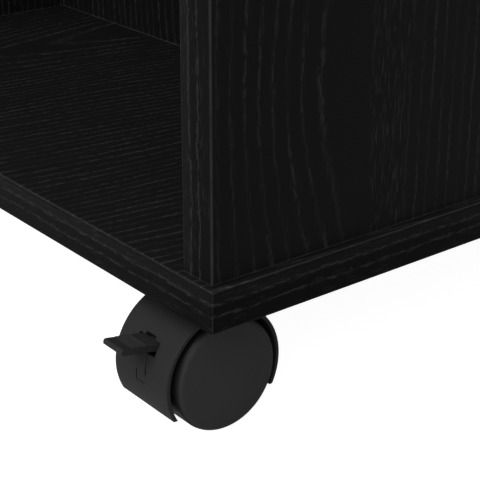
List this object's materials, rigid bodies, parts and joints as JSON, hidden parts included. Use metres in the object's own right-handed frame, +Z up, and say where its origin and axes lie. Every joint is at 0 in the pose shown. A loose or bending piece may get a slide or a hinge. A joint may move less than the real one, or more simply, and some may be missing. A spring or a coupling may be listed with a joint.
{
  "type": "mobile printer stand",
  "caption": "Open black oak-grain printer stand with top, middle shelf and partitioned lower bay, on hooded twin-wheel casters with foot brakes in front.",
  "frame": {"origin": "on the floor under the middle of the whole footprint, brake levers included", "axes": "+Z up, +X to the right seen from the front, -Y towards the front where the brake levers stand out"},
  "size_m": [0.366, 0.3543, 0.56],
  "materials": {
    "black_oak_laminate": "black oak wood-grain foil on engineered board, satin",
    "hood_plastic": "black moulded plastic, satin",
    "wheel_plastic": "black moulded nylon, satin",
    "caster_steel": "zinc plated pressed steel",
    "zinc_fasteners": "bright zinc",
    "dowel_beech": "bare beech",
    "cover_plastic": "black push-on cap, matte",
    "washer_nylon": "natural nylon"
  },
  "bodies": {
    "stand": {"bottom_board": "black_oak_laminate", "top_board": "black_oak_laminate", "left_side_panel": "black_oak_laminate", "right_side_panel": "black_oak_laminate", "centre_partition": "black_oak_laminate", "middle_shelf": "black_oak_laminate", "wooden_dowels": "dowel_beech", "panel_screws": "zinc_fasteners", "cam_bolts": "zinc_fasteners", "cam_locks": "zinc_fasteners", "cam_covers": "cover_plastic", "caster_screws": "zinc_fasteners", "front_left_mounting_plate": "caster_steel", "front_left_kingpin": "caster_steel", "front_left_swivel_washer": "washer_nylon", "front_right_mounting_plate": "caster_steel", "front_right_kingpin": "caster_steel", "front_right_swivel_washer": "washer_nylon", "rear_left_mounting_plate": "caster_steel", "rear_left_kingpin": "caster_steel", "rear_left_swivel_washer": "washer_nylon", "rear_right_mounting_plate": "caster_steel", "rear_right_kingpin": "caster_steel", "rear_right_swivel_washer": "washer_nylon"},
    "front_left_swivel": {"front_left_hood": "hood_plastic", "front_left_axle": "caster_steel", "front_left_lever_pin": "caster_steel", "front_left_brake_clip": "hood_plastic"},
    "front_left_left_wheel": {"front_left_wheel_left": "wheel_plastic"},
    "front_left_right_wheel": {"front_left_wheel_right": "wheel_plastic"},
    "front_left_lever": {"front_left_brake_lever": "hood_plastic"},
    "front_right_swivel": {"front_right_hood": "hood_plastic", "front_right_axle": "caster_steel", "front_right_lever_pin": "caster_steel", "front_right_brake_clip": "hood_plastic"},
    "front_right_left_wheel": {"front_right_wheel_left": "wheel_plastic"},
    "front_right_right_wheel": {"front_right_wheel_right": "wheel_plastic"},
    "front_right_lever": {"front_right_brake_lever": "hood_plastic"},
    "rear_left_swivel": {"rear_left_hood": "hood_plastic", "rear_left_axle": "caster_steel"},
    "rear_left_left_wheel": {"rear_left_wheel_left": "wheel_plastic"},
    "rear_left_right_wheel": {"rear_left_wheel_right": "wheel_plastic"},
    "rear_right_swivel": {"rear_right_hood": "hood_plastic", "rear_right_axle": "caster_steel"},
    "rear_right_left_wheel": {"rear_right_wheel_left": "wheel_plastic"},
    "rear_right_right_wheel": {"rear_right_wheel_right": "wheel_plastic"}
  },
  "joints": [
    {"name": "front_left_swivel_turn", "type": "hinge", "parent": "stand", "child": "front_left_swivel", "pos_m": [-0.147, -0.12554, 0.042], "axis": [0, 0, 1], "continuous": true},
    {"name": "front_left_left_wheel_spin", "type": "hinge", "parent": "front_left_swivel", "child": "front_left_left_wheel", "pos_m": [-0.147, -0.14064, 0.0208], "axis": [1, 0, 0], "continuous": true},
    {"name": "front_left_right_wheel_spin", "type": "hinge", "parent": "front_left_swivel", "child": "front_left_right_wheel", "pos_m": [-0.147, -0.14064, 0.0208], "axis": [1, 0, 0], "continuous": true},
    {"name": "front_left_brake_press", "type": "hinge", "parent": "front_left_swivel", "child": "front_left_lever", "pos_m": [-0.147, -0.15494, 0.03253], "axis": [1, 0, 0], "range_deg": [0, 12]},
    {"name": "front_right_swivel_turn", "type": "hinge", "parent": "stand", "child": "front_right_swivel", "pos_m": [0.147, -0.12554, 0.042], "axis": [0, 0, 1], "continuous": true},
    {"name": "front_right_left_wheel_spin", "type": "hinge", "parent": "front_right_swivel", "child": "front_right_left_wheel", "pos_m": [0.147, -0.14064, 0.0208], "axis": [1, 0, 0], "continuous": true},
    {"name": "front_right_right_wheel_spin", "type": "hinge", "parent": "front_right_swivel", "child": "front_right_right_wheel", "pos_m": [0.147, -0.14064, 0.0208], "axis": [1, 0, 0], "continuous": true},
    {"name": "front_right_brake_press", "type": "hinge", "parent": "front_right_swivel", "child": "front_right_lever", "pos_m": [0.147, -0.15494, 0.03253], "axis": [1, 0, 0], "range_deg": [0, 12]},
    {"name": "rear_left_swivel_turn", "type": "hinge", "parent": "stand", "child": "rear_left_swivel", "pos_m": [-0.147, 0.13946, 0.042], "axis": [0, 0, 1], "continuous": true},
    {"name": "rear_left_left_wheel_spin", "type": "hinge", "parent": "rear_left_swivel", "child": "rear_left_left_wheel", "pos_m": [-0.147, 0.15456, 0.0208], "axis": [1, 0, 0], "continuous": true},
    {"name": "rear_left_right_wheel_spin", "type": "hinge", "parent": "rear_left_swivel", "child": "rear_left_right_wheel", "pos_m": [-0.147, 0.15456, 0.0208], "axis": [1, 0, 0], "continuous": true},
    {"name": "rear_right_swivel_turn", "type": "hinge", "parent": "stand", "child": "rear_right_swivel", "pos_m": [0.147, 0.13946, 0.042], "axis": [0, 0, 1], "continuous": true},
    {"name": "rear_right_left_wheel_spin", "type": "hinge", "parent": "rear_right_swivel", "child": "rear_right_left_wheel", "pos_m": [0.147, 0.15456, 0.0208], "axis": [1, 0, 0], "continuous": true},
    {"name": "rear_right_right_wheel_spin", "type": "hinge", "parent": "rear_right_swivel", "child": "rear_right_right_wheel", "pos_m": [0.147, 0.15456, 0.0208], "axis": [1, 0, 0], "continuous": true}
  ]
}
